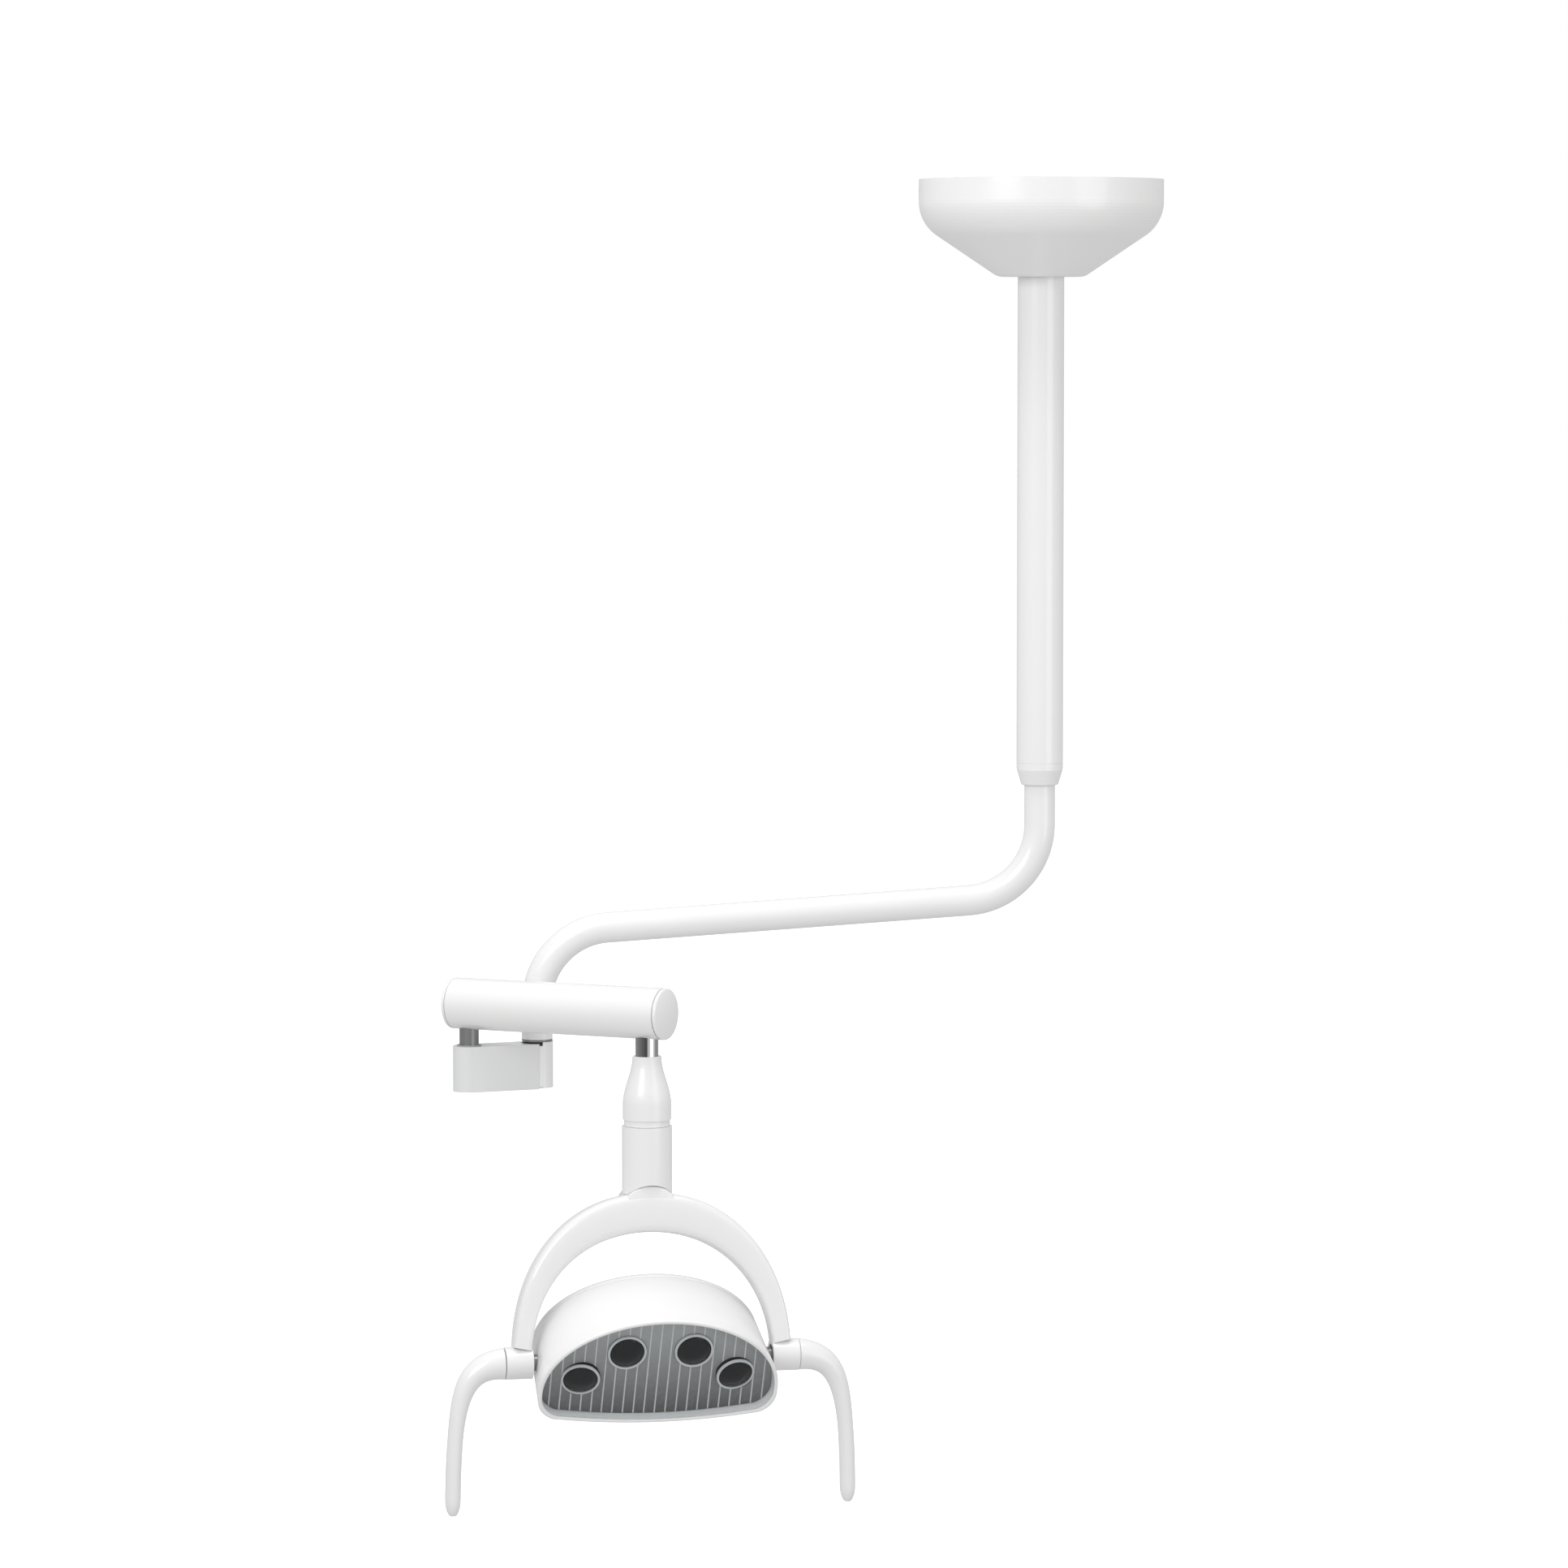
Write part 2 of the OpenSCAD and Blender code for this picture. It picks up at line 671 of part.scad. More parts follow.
// A domed end cap, its face towards +X, seated at x = 0.
module arm_cap(crown) rotate([0, 90, 0]) rotate_extrude($fn = 96) {
    face_r = (arm_r * arm_r + crown * crown) / (2 * crown);
    polygon(concat(
        [[0, -cap_plug], [arm_ir, -cap_plug], [arm_ir, 0], [arm_r - 0.6, 0], [arm_r, 0.6]],
        arc(arm_r - cap_edge, cap_rim - cap_edge, cap_edge, 0, 60, 8),
        [for (i = [1 : 6]) let (x = (arm_r - cap_edge * 1.2) * (1 - i / 6))
            [x, cap_rim - cap_edge * 0.1 + crown * (1 - pow(x / arm_r, 2))]]
    ));
}
module arm_cap_left() color(white)
    at_tube() translate([-arm_tail, 0, 0]) mirror([1, 0, 0]) arm_cap(cap_crown_left);
module arm_cap_right() color(white) at_tube() translate([arm_span + arm_nose, 0, 0]) arm_cap(cap_crown_right);

// A block that fills the lower part of the tube round one of the two vertical pivots.
module tube_block(x0, x1) difference() {
    at_tube() along_x(arm_ir, x0, x1);
    at_arm() translate([x0 - 1, -arm_r, -block_top]) cube([x1 - x0 + 2, arm_d, arm_d]);
}
module post_block() color("darkgray") difference() {
    tube_block(-arm_tail + cap_plug, block_half + 10);
    at_arm() {
        post_between(post_r + pass_gap, post_shoulder, arm_under);
        post_between(post_journal_r + bush_wall - 1, block_top - 1, post_shoulder + 1);
        translate([block_half - 1, 0, -arm_z - 6]) along_y(block_screw_r, 10, arm_r);
    }
}
module stem_block() color("darkgray") difference() {
    tube_block(arm_span - block_half - 10, arm_span + arm_nose - cap_plug);
    at_arm() {
        translate([arm_span, 0, 0]) post_between(stem_r, stem_shoulder, arm_under);
        translate([arm_span, 0, 0]) post_between(stem_thread_r, block_top - 1, arm_under);
        translate([arm_span - block_half + 1, 0, -arm_z - 6]) along_y(block_screw_r, 10, arm_r);
    }
}
module post_bushes() color(bush_colour) at_arm()
    ring_between(post_journal_r + bush_wall - 1, post_journal_r + run_fit, block_top, post_shoulder - eps);

module block_screws() color(steel) at_arm() for (x = screw_xs()) translate([x, 0, -arm_z - 6]) {
    along_y(block_screw_r, 12, arm_r - 0.4);
}

module lamp_stem() color("gainsboro") translate([stem_xy[0], stem_xy[1], 0]) difference() {
    union() {
        post_between(stem_r, stem_shoulder, ring_low - face_gap);
        post_between(stem_thread_r, block_top - nut_h - 2, stem_shoulder);
        post_between(journal_r, ring_low - face_gap, journal_low);
        post_between(journal_thread_r, journal_low, journal_low + journal_washer_h + journal_nut_h + 2);
    }
    post_between(stem_bore_r, block_top - 20, housing_low);
}

module stem_nuts() color(steel) translate([stem_xy[0], stem_xy[1], 0]) {
    difference() {
        hex_between(27, block_top - nut_h, block_top);
        post_between(stem_thread_r, block_top - 20, block_top + 1);
    }
    difference() {
        union() {
            post_between(housing_bush_r - 1, journal_low, journal_low + journal_washer_h);
            hex_between(24, journal_low + journal_washer_h, journal_low + journal_washer_h + journal_nut_h);
        }
        post_between(journal_thread_r, journal_low - 1, housing_low);
    }
}

// Radius of the neck cone, from 0 at its top to 1 where it runs straight.
function flare(t) = cone_top_d / 2 + (cone_low_d - cone_top_d) / 2 * (3 * t * t - 2 * t * t * t);
module neck_cone() color(white) translate([stem_xy[0], stem_xy[1], 0]) rotate_extrude($fn = 96) {
    steps = 14;
    inner_from = cone_boss_h / cone_flare;
    polygon(concat(
        [[stem_r, -cone_top], [cone_top_d / 2 - 1, -cone_top]],
        [for (i = [0 : steps]) let (t = i / steps) [flare(t), -cone_top - 1 - t * (cone_flare - 1)]],
        [[cone_low_d / 2, -cone_low], [cone_low_d / 2 - neck_wall, -cone_low]],
        [for (i = [0 : steps]) let (t = 1 - (1 - inner_from) * i / steps)
            [max(flare(t) - neck_wall, stem_r), -cone_top - 1 - t * (cone_flare - 1)]]
    ));
}

module swivel_ring() color("lightgray") translate([stem_xy[0], stem_xy[1], 0])
    ring_between(ring_d / 2, stem_r, cone_low, ring_low - face_gap);

// ---------- neck and yoke ----------
module swivel_housing() color(steel) at_stem() difference() {
    post_between(housing_r, neck_top, housing_low);
    post_between(housing_bush_r, neck_top - 1, journal_low + 1);
    post_between(housing_r - 2 * core_screw_in, journal_low, housing_low + 1);
    for (a = [45 : 90 : 315]) rotate([0, 0, a]) translate([housing_r - core_screw_in, 0, 0])
        post_between(m4_r, housing_low - 14, housing_low + 1);
}
module swivel_bushes() color(bush_colour) at_stem() {
    ring_between(housing_bush_r, journal_r + run_fit, neck_top, neck_top + housing_bush_h);
    ring_between(housing_bush_r, journal_r + run_fit, journal_low - housing_bush_h, journal_low - eps);
}

module neck_shell() color(white) at_stem() difference() {
    post_between(neck_d / 2, neck_top, neck_low + 6);
    post_between(neck_d / 2 - neck_wall, neck_top + neck_wall, neck_low + 10);
    post_between(housing_r, neck_top - 1, neck_low);
    translate([0, 0, -saddle_z]) along_y(saddle_r + saddle_gap, -neck_d, neck_d);
    translate([-neck_d, -neck_d, -neck_low - 20]) cube([2 * neck_d, 2 * neck_d, 20]);
}

// Points of a rounded arch, from one pivot over the top to the other.
function arch(a, b, n = 44) = [for (i = [0 : n]) let (t = 180 * i / n, c = cos(t), s = sin(t))
    [a * sign(c) * pow(abs(c), 2 / yoke_power), b * pow(abs(s), 2 / yoke_power)]];
function backwards(p) = [for (i = [len(p) - 1 : -1 : 0]) p[i]];

// The crescent between the two arches, drawn t inside the skin.
module crescent(t) polygon(concat(
    arch(yoke_out_a - t, yoke_out_b - t), backwards(arch(yoke_in_a + t, yoke_in_b + t))
));
// An outline in X and Z made solid along Y.
module upright(y0, y1) translate([0, y1, 0]) rotate([90, 0, 0]) linear_extrude(y1 - y0) children();
// The yoke seen from the side, t inside its skin: deep at the crown and slimmer at the legs.
module yoke_side(t) rotate([90, 0, 90]) translate([0, 0, -200]) linear_extrude(400) polygon([
    [-yoke_leg_depth / 2 + t, -20], [-yoke_depth / 2 + t, yoke_out_b * 0.9],
    [-yoke_depth / 2 + t, yoke_out_b + 20], [yoke_depth / 2 - t, yoke_out_b + 20],
    [yoke_depth / 2 - t, yoke_out_b * 0.9], [yoke_leg_depth / 2 - t, -20]
]);

// Half of the yoke's shell: side -1 is the front, side 1 the rear.
module yoke_half(side) color(white) difference() {
    deep = yoke_depth / 2;
    intersection() {
        union() {
            at_yoke() intersection() {
                upright(-deep, deep) crescent(0);
                yoke_side(0);
            }
            at_stem() intersection() {
                translate([0, 0, -saddle_z]) along_y(saddle_r, -deep, deep);
                translate([-neck_d, -yoke_depth, -saddle_z + 8]) cube([2 * neck_d, 2 * yoke_depth, saddle_r]);
            }
        }
        at_yoke() translate([-300, side < 0 ? -60 : 0, -60]) cube([600, 60, 400]);
    }
    at_yoke() intersection() {
        upright(side < 0 ? -deep : -seam_over, side < 0 ? seam_over : deep) crescent(yoke_wall);
        yoke_side(yoke_wall);
    }
    at_stem() post_between(housing_r + face_gap, neck_top, core_plate_z + core_plate_h);
    pivot_bores();
}
module yoke_front() yoke_half(-1);
module yoke_rear() yoke_half(1);
// Room for the two pivot hubs.
module pivot_bores() at_pivot() for (s = [0, 1]) mirror([s, 0, 0])
    along_x(hub_r, hub_in - 10, hub_in + hub_len + 10);

module yoke_core() color(steel) difference() {
    union() {
        at_yoke() upright(-core_t / 2, core_t / 2) crescent(core_inset);
        at_stem() post_between(housing_r, core_plate_z, core_plate_z + core_plate_h);
    }
    at_stem() translate([-neck_d, -neck_d, -core_plate_z]) cube([2 * neck_d, 2 * neck_d, 30]);
    at_core_screws() post_between(m4_r, core_plate_z - 1, core_plate_z + core_plate_h + 1);
    pivot_bores();
}
module at_core_screws() at_stem() for (a = [45 : 90 : 315]) rotate([0, 0, a])
    translate([housing_r - core_screw_in, 0, 0]) children();

module core_screws() color(steel) at_core_screws() {
    post_between(m4_r, housing_low - 12, core_plate_z + core_plate_h);
    post_between(1.7 * m4_r, core_plate_z + core_plate_h, core_plate_z + core_plate_h + 3);
}

module yoke_hubs() color(white) at_pivot() for (s = [0, 1]) mirror([s, 0, 0]) difference() {
    along_x(hub_r, hub_in, hub_in + hub_len);
    along_x(tilt_bush_r, hub_in - 1, hub_in + hub_len + 1);
}
module tilt_bushes() color(bush_colour) at_pivot() for (s = [0, 1]) mirror([s, 0, 0]) difference() {
    along_x(tilt_bush_r, hub_in, hub_in + hub_len);
    along_x(tilt_shaft_r + run_fit, hub_in - 1, hub_in + hub_len + 1);
}

// ---------- lamp head ----------
// The head's outline in X and Z: an elliptic crown, round lower corners and a bowed lower edge.
// k scales it about the widest line and t draws it inside the skin.
function head_outline(k = 1, t = 0) =
    let (a = head_a * k - t, b = head_b * k - t, low = head_low * k - t, r = min(head_corner_r, low * 1.2))
    concat(
        [for (i = [0 : 36]) let (u = 180 * i / 36) [a * cos(u), b * sin(u)]],
        arc(-a + r, -low + r * 0.8, r, 180, 250, 8),
        [for (i = [1 : 9]) let (x = (a - r * 1.34) * (i / 5 - 1)) [x, -low - bow * (1 - pow(x / a, 2))]],
        arc(a - r, -low + r * 0.8, r, 290, 360, 8)
    );
module head_slice(y, k, t) translate([0, y, -head_sink]) rotate([90, 0, 0])
    linear_extrude(eps) polygon(head_outline(k, t));

module head_shell() color(white) at_head() difference() {
    hull() {
        head_slice(front_face + 2, 1, 0);
        head_slice(front_face + eps, 1, 1.5);
        head_slice(head_rear, head_taper, 0);
    }
    hull() {
        head_slice(front_face - 1, 1, head_wall + 1.5);
        head_slice(head_rear + 1, head_taper, head_wall);
    }
    along_x(tilt_shaft_r + pass_gap, -head_a - 5, -head_a + 20);
    along_x(tilt_shaft_r + pass_gap, head_a - 20, head_a + 5);
}

module rear_cover() color(white) at_head() difference() {
    hull() {
        head_slice(head_rear + eps, head_taper, 0);
        head_slice(head_rear + rear_cover_h * 0.4, head_taper, 2);
        head_slice(head_rear + rear_cover_h * 0.8, head_taper, 12);
        head_slice(head_rear + rear_cover_h, head_taper, 28);
    }
    hull() {
        head_slice(head_rear - 1, head_taper, head_wall);
        head_slice(head_rear + rear_cover_h * 0.4, head_taper, head_wall + 2);
        head_slice(head_rear + rear_cover_h - head_wall, head_taper, 30);
    }
}

module front_cover() color([0.8, 0.85, 0.9, 0.4])
    at_head() translate([0, front_face + 1 + cover_t, -head_sink]) rotate([90, 0, 0]) linear_extrude(cover_t) polygon(head_outline(1, head_wall + 1.9));

// Each lens stands in its own frame: its axis along -Y, its seat on the reflector plate.
module at_lens(p) translate([p[0], plate_y, p[1]]) rotate([p[3], 0, p[2]]) children();

module reflector_plate() color("dimgray") at_head() difference() {
    translate([0, plate_y + plate_thick, -head_sink]) rotate([90, 0, 0]) linear_extrude(plate_thick)
        polygon(head_outline(1, head_wall + 2.6));
    for (p = lens_places) at_lens(p) along_y(lens_d / 2 + lens_ring_w + face_gap, -12, 12);
}

module lenses() color([0.06, 0.06, 0.07]) at_head() for (p = lens_places) at_lens(p) {
    face_r = (lens_d * lens_d / 4 + lens_dome * lens_dome) / (2 * lens_dome);
    along_y(lens_d / 2, -1.5, 4);
    intersection() {
        translate([0, face_r - lens_dome - 1.5, 0]) sphere(r = face_r, $fn = 96);
        along_y(lens_d / 2, -lens_dome - 2, -1.5);
    }
}

module lens_rings() color("lightgray") at_head() for (p = lens_places) at_lens(p) difference() {
    along_y(lens_d / 2 + lens_ring_w, -3, -0.4);
    along_y(lens_d / 2, -4, 1);
}

module led_modules() color("darkslategray") at_head() difference() {
    for (p = lens_places) at_lens(p) {
        difference() {
            along_y(lens_d / 2, 4, 4 + cup_len);
            translate([0, 3.9, 0]) rotate([-90, 0, 0])
                cylinder(r1 = lens_d / 2 - 1.5, r2 = 6, h = cup_len - 2);
        }
        along_y(12, 4 + cup_len, 60);
    }
    translate([-200, frame_y, -200]) cube([400, 200, 400]);
}

module head_frame() color(steel) at_head() difference() {
    union() {
        translate([0, frame_y + frame_t, -head_sink]) rotate([90, 0, 0]) linear_extrude(frame_t)
            polygon(head_outline(1, frame_inset));
        for (s = [0, 1]) mirror([s, 0, 0]) {
            along_x(ear_r, ear_x, ear_x + ear_w);
            translate([ear_x, frame_y, -ear_r]) cube([ear_w, -frame_y, 2 * ear_r]);
        }
    }
    along_x(tilt_shaft_r, -head_a, head_a);
    for (s = [0, 1]) mirror([s, 0, 0]) {
        along_x(shaft_nut_r + pass_gap, ear_x - 12, ear_x);
        along_x(shaft_collar_r + pass_gap, ear_x + ear_w, head_a);
    }
}

module heat_sink() color("silver") at_head() translate([-sink_w / 2, frame_y + frame_t, 0]) {
    cube([sink_w, sink_base, sink_h]);
    for (i = [0 : fins - 1]) translate([i * (sink_w - fin_t) / (fins - 1), sink_base - eps, 0])
        cube([fin_t, sink_fin, sink_h]);
}

module driver_board() color("seagreen") at_head() translate([-45, frame_y + frame_t, -40]) {
    for (x = [4, 80]) for (z = [4, 24]) translate([x, 0, z]) along_y(2, 0, 6 + eps);
    translate([0, 6, 0]) cube([84, 1.6, 28]);
    translate([14, 7.6 - eps, 6]) cube([16, 9, 14]);
    translate([42, 7.6 - eps, 8]) cube([10, 4, 10]);
    translate([62, 7.6 - eps, 12]) along_y(5, 0, 12);
}

module pivot_shafts() color(steel) at_head() for (s = [0, 1]) mirror([s, 0, 0]) difference() {
    union() {
        along_x(tilt_shaft_r, ear_x - 10, handle_from + handle_bore_len);
        along_x(shaft_collar_r, ear_x + ear_w, ear_x + ear_w + 4);
        translate([ear_x - 7, 0, 0]) rotate([0, 90, 0]) cylinder(r = shaft_nut_r, h = 7, $fn = 6);
    }
    along_x(shaft_bore_r, ear_x - 11, handle_from + handle_bore_len + 1);
}

// ---------- handles ----------
// Centre line of a handle, from the pivot hub (u = 0) to its tip (u = 1): out, round and down.
function handle_x(u) = handle_from + handle_elbow * (1 - pow(1 - u, 5)) + handle_splay * (1 - pow(1 - u, 2));
function handle_z(u) = -(handle_len - grip_depth) * pow(u, 1.75);
// Half width across the handle and half depth along it.
function handle_w(u) = grip_w + (hub_r - grip_w) * pow(max(1 - 1.5 * u, 0), 1.6);
function handle_d(u) = grip_depth + (hub_r - grip_depth) * pow(max(1 - 1.5 * u, 0), 1.6);
function tip_round(u) = u < 0.94 ? 1 : sqrt(max(1 - pow((u - 0.94) / 0.066, 2), 0));
function handle_dir(u) =
    let (before = max(u - 0.01, 0), after = min(u + 0.01, 1))
    atan2(handle_z(after) - handle_z(before), handle_x(after) - handle_x(before));
function handle_ring(u) =
    let (a = u == 0 ? 0 : handle_dir(u), w = handle_w(u) * tip_round(u), d = handle_d(u) * tip_round(u))
    [for (i = [0 : handle_sides - 1]) let (b = 360 * i / handle_sides)
        [handle_x(u) - w * cos(b) * sin(a), d * sin(b), handle_z(u) + w * cos(b) * cos(a)]];

module handle_solid() {
    points = [for (k = [0 : handle_rings]) each handle_ring(k / handle_rings)];
    n = handle_sides;
    polyhedron(points, concat(
        [[for (i = [0 : n - 1]) i]],
        [for (k = [0 : handle_rings - 1]) each [for (i = [0 : n - 1])
            [k * n + i, (k + 1) * n + i, (k + 1) * n + (i + 1) % n, k * n + (i + 1) % n]]],
        [[for (i = [n - 1 : -1 : 0]) handle_rings * n + i]]
    ));
}
module handle() rotate([handle_lean, 0, 0]) difference() {
    handle_solid();
    along_x(tilt_shaft_r, handle_from - 1, handle_from + handle_bore_len);
}
module handle_right() color(white) at_head() handle();
module handle_left() color(white) at_head() mirror([1, 0, 0]) handle();

ceiling_plate();
flange_bolts();
column_tube();
canopy();
canopy_screws();
power_supply();
terminal_block();
supply_screws();
bearing_sleeve();
column_bushes();
thrust_washer();
collar();
brake_screw();
boom_tube();
boom_lock_ring();
boom_lock_pin();
boom_foot();
foot_nut();
link_bar();
link_cover();
link_base();
link_cap();
link_bushes();
base_screws();
post_ring();
arm_post();
post_nut();
arm_tube();
arm_cap_left();
arm_cap_right();
post_block();
stem_block();
post_bushes();
block_screws();
lamp_stem();
stem_nuts();
neck_cone();
swivel_ring();
swivel_housing();
swivel_bushes();
neck_shell();
yoke_core();
yoke_front();
yoke_rear();
yoke_hubs();
tilt_bushes();
core_screws();
head_shell();
rear_cover();
front_cover();
reflector_plate();
lenses();
lens_rings();
led_modules();
head_frame();
heat_sink();
driver_board();
pivot_shafts();
handle_left();
handle_right();
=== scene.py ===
import json
import math
import bmesh
import bpy
from mathutils import Matrix, Vector


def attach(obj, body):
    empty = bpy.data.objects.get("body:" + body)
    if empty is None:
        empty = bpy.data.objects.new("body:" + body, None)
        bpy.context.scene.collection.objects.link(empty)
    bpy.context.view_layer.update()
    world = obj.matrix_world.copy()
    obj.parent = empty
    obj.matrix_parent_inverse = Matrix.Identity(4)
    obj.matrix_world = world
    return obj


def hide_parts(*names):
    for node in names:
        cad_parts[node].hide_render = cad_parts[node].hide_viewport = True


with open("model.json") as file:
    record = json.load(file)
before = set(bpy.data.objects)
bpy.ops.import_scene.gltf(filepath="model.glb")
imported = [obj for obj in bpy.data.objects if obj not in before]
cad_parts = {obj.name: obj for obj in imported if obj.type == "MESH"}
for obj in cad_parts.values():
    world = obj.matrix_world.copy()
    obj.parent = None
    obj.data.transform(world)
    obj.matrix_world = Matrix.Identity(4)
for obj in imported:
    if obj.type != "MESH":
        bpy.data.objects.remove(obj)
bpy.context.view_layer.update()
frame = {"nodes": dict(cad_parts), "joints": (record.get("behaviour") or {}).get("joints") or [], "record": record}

joints = {j["name"]: j for j in frame["joints"]}
mm = 0.001


# small helpers

def clearSelection():
    if bpy.context.object and bpy.context.object.mode != "OBJECT":
        bpy.ops.object.mode_set(mode="OBJECT")
    bpy.ops.object.select_all(action="DESELECT")


def activate(piece):
    clearSelection()
    piece.select_set(True)
    bpy.context.view_layer.objects.active = piece


def startEdit(piece):
    activate(piece)
    bpy.ops.object.mode_set(mode="EDIT")
    return bmesh.from_edit_mesh(piece.data)


def endEdit():
    bpy.ops.object.mode_set(mode="OBJECT")


def pick(piece, kind, test):
    # selects the verts, edges or faces that pass the test
    bpy.ops.mesh.select_all(action="DESELECT")
    bpy.ops.mesh.select_mode(type={"verts": "VERT", "edges": "EDGE", "faces": "FACE"}[kind])
    bm = bmesh.from_edit_mesh(piece.data)
    for e in [e for e in getattr(bm, kind) if test(e)]:
        e.select_set(True)
    bm.select_flush(True)
    bmesh.update_edit_mesh(piece.data)


def moveRing(piece, fromRing, toRing):
    # the selected ring lies on fromRing's points and goes to toRing's
    bm = bmesh.from_edit_mesh(piece.data)
    where = {tuple(round(c * 1e6) for c in p): i for i, p in enumerate(fromRing)}
    for v in [v for v in bm.verts if v.select]:
        key = tuple(round(c * 1e6) for c in v.co)
        if key not in where:
            i = min(range(len(fromRing)), key=lambda n: (Vector(fromRing[n]) - v.co).length)
        else:
            i = where[key]
        v.co = Vector(toRing[i])
    bmesh.update_edit_mesh(piece.data)


def loft(name, rings, closed=False, capStart=True):
    # extrudes one ring of vertices from section to section
    clearSelection()
    n = len(rings[0])
    bpy.ops.mesh.primitive_circle_add(vertices=n, radius=1, fill_type="NOTHING")
    piece = bpy.context.object
    piece.name = piece.data.name = name
    bm = startEdit(piece)
    bm.verts.ensure_lookup_table()
    for i, v in enumerate(bm.verts):
        v.co = Vector(rings[0][i])
    bmesh.update_edit_mesh(piece.data)
    bpy.ops.mesh.select_all(action="SELECT")
    if capStart and not closed:
        bpy.ops.mesh.edge_face_add()
        bpy.ops.mesh.select_all(action="DESELECT")
        bpy.ops.mesh.select_mode(type="EDGE")
        bm = bmesh.from_edit_mesh(piece.data)
        for e in bm.edges:
            e.select_set(True)
        bmesh.update_edit_mesh(piece.data)
    bpy.ops.mesh.select_mode(type="EDGE")
    for last, ring in zip(rings, rings[1:]):
        bpy.ops.mesh.extrude_edges_move(TRANSFORM_OT_translate={"value": (0, 0, 0)})
        moveRing(piece, last, ring)
    if closed:
        pick(piece, "edges", lambda e: e.is_boundary)
        bpy.ops.mesh.bridge_edge_loops()
    else:
        bpy.ops.mesh.edge_face_add()
    bpy.ops.mesh.select_all(action="SELECT")
    bpy.ops.mesh.remove_doubles(threshold=0.01 * mm)
    bpy.ops.mesh.normals_make_consistent(inside=False)
    endEdit()
    return piece


def useModifier(piece, kind, **settings):
    activate(piece)
    modifier = piece.modifiers.new(kind.title(), kind)
    for key, value in settings.items():
        setattr(modifier, key, value)
    bpy.ops.object.modifier_apply(modifier=modifier.name)


def place(piece, matrix):
    # puts the piece where it belongs and applies the place to its mesh
    activate(piece)
    piece.matrix_world = matrix
    bpy.ops.object.transform_apply(location=True, rotation=True, scale=True)


def mirrorCopy(piece, name):
    activate(piece)
    bpy.ops.object.duplicate()
    twin = bpy.context.object
    twin.name = twin.data.name = name
    twin.scale = (-1, 1, 1)
    bpy.ops.object.transform_apply(location=False, rotation=False, scale=True)
    bpy.ops.object.mode_set(mode="EDIT")
    bpy.ops.mesh.select_all(action="SELECT")
    bpy.ops.mesh.normals_make_consistent(inside=False)
    endEdit()
    return twin


def smooth(piece, angle=35):
    activate(piece)
    bpy.ops.object.shade_smooth_by_angle(angle=math.radians(angle))


def finishPiece(piece, body, slot, nodes=(), angle=35):
    smooth(piece, angle)
    piece.data.materials.clear()
    piece.data.materials.append(looks[slot])
    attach(piece, body)
    if nodes:
        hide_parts(*nodes)
    print("made", piece.name, len(piece.data.polygons), "faces")
    return piece


# materials

class Wire:
    # a socket that takes part in sums

    def __init__(self, maker, socket):
        self.maker, self.socket = maker, socket

    def math(self, operation, *others):
        inputs = {0: self, **dict(enumerate(others, 1))}
        return self.maker.add("ShaderNodeMath", {"operation": operation}, inputs)

    def __add__(self, other):
        return self.math("ADD", other)

    def __mul__(self, other):
        return self.math("MULTIPLY", other)

    def __truediv__(self, other):
        return self.math("DIVIDE", other)


class Maker:
    # one material and its nodes

    def __init__(self, name, **fixed):
        self.material = bpy.data.materials.new(name)
        self.material.use_nodes = True
        self.nodes, self.links = self.material.node_tree.nodes, self.material.node_tree.links
        self.shader = next(n for n in self.nodes if n.type == "BSDF_PRINCIPLED")
        for key, value in fixed.items():
            self.shader.inputs[key.replace("_", " ")].default_value = value
        self.place = Wire(self, self.nodes.new("ShaderNodeTexCoord").outputs["Object"])

    def add(self, kind, settings, inputs, output=0):
        node = self.nodes.new(kind)
        for key, value in settings.items():
            if key == "stops":
                ramp = node.color_ramp
                while len(ramp.elements) < len(value):
                    ramp.elements.new(0.5)
                for stop, (at, level) in zip(ramp.elements, value):
                    stop.position = at
                    stop.color = level if isinstance(level, tuple) else (level, level, level, 1)
            else:
                setattr(node, key, value)
        for key, value in inputs.items():
            if isinstance(value, Wire):
                self.links.new(value.socket, node.inputs[key])
            else:
                node.inputs[key].default_value = value
        return Wire(self, node.outputs[output])

    def noise(self, scale, detail=3.0, rough=0.5, at=None):
        settings = {"Vector": at or self.place, "Scale": scale, "Detail": detail, "Roughness": rough}
        return self.add("ShaderNodeTexNoise", {}, settings)

    def ramp(self, wire, *stops):
        return self.add("ShaderNodeValToRGB", {"stops": stops}, {"Fac": wire})

    def mix(self, factor, a, b):
        return self.add("ShaderNodeMix", {"data_type": "RGBA"}, {0: factor, 6: a, 7: b}, output=2)

    def along(self, centre, direction):
        # distance from a point along a direction
        kind = "ShaderNodeVectorMath"
        offset = self.add(kind, {"operation": "SUBTRACT"}, {0: self.place, 1: tuple(centre)})
        dot = {0: offset, 1: tuple(direction)}
        return self.add(kind, {"operation": "DOT_PRODUCT"}, dot, output="Value")

    def to(self, socket, wire):
        self.links.new(wire.socket, self.shader.inputs[socket])

    def bump(self, height, strength, distance=0.0005):
        settings = {"Height": height, "Strength": strength, "Distance": distance}
        self.to("Normal", self.add("ShaderNodeBump", {}, settings))


def rgb(r, g=None, b=None):
    return (r, r if g is None else g, r if b is None else b, 1)


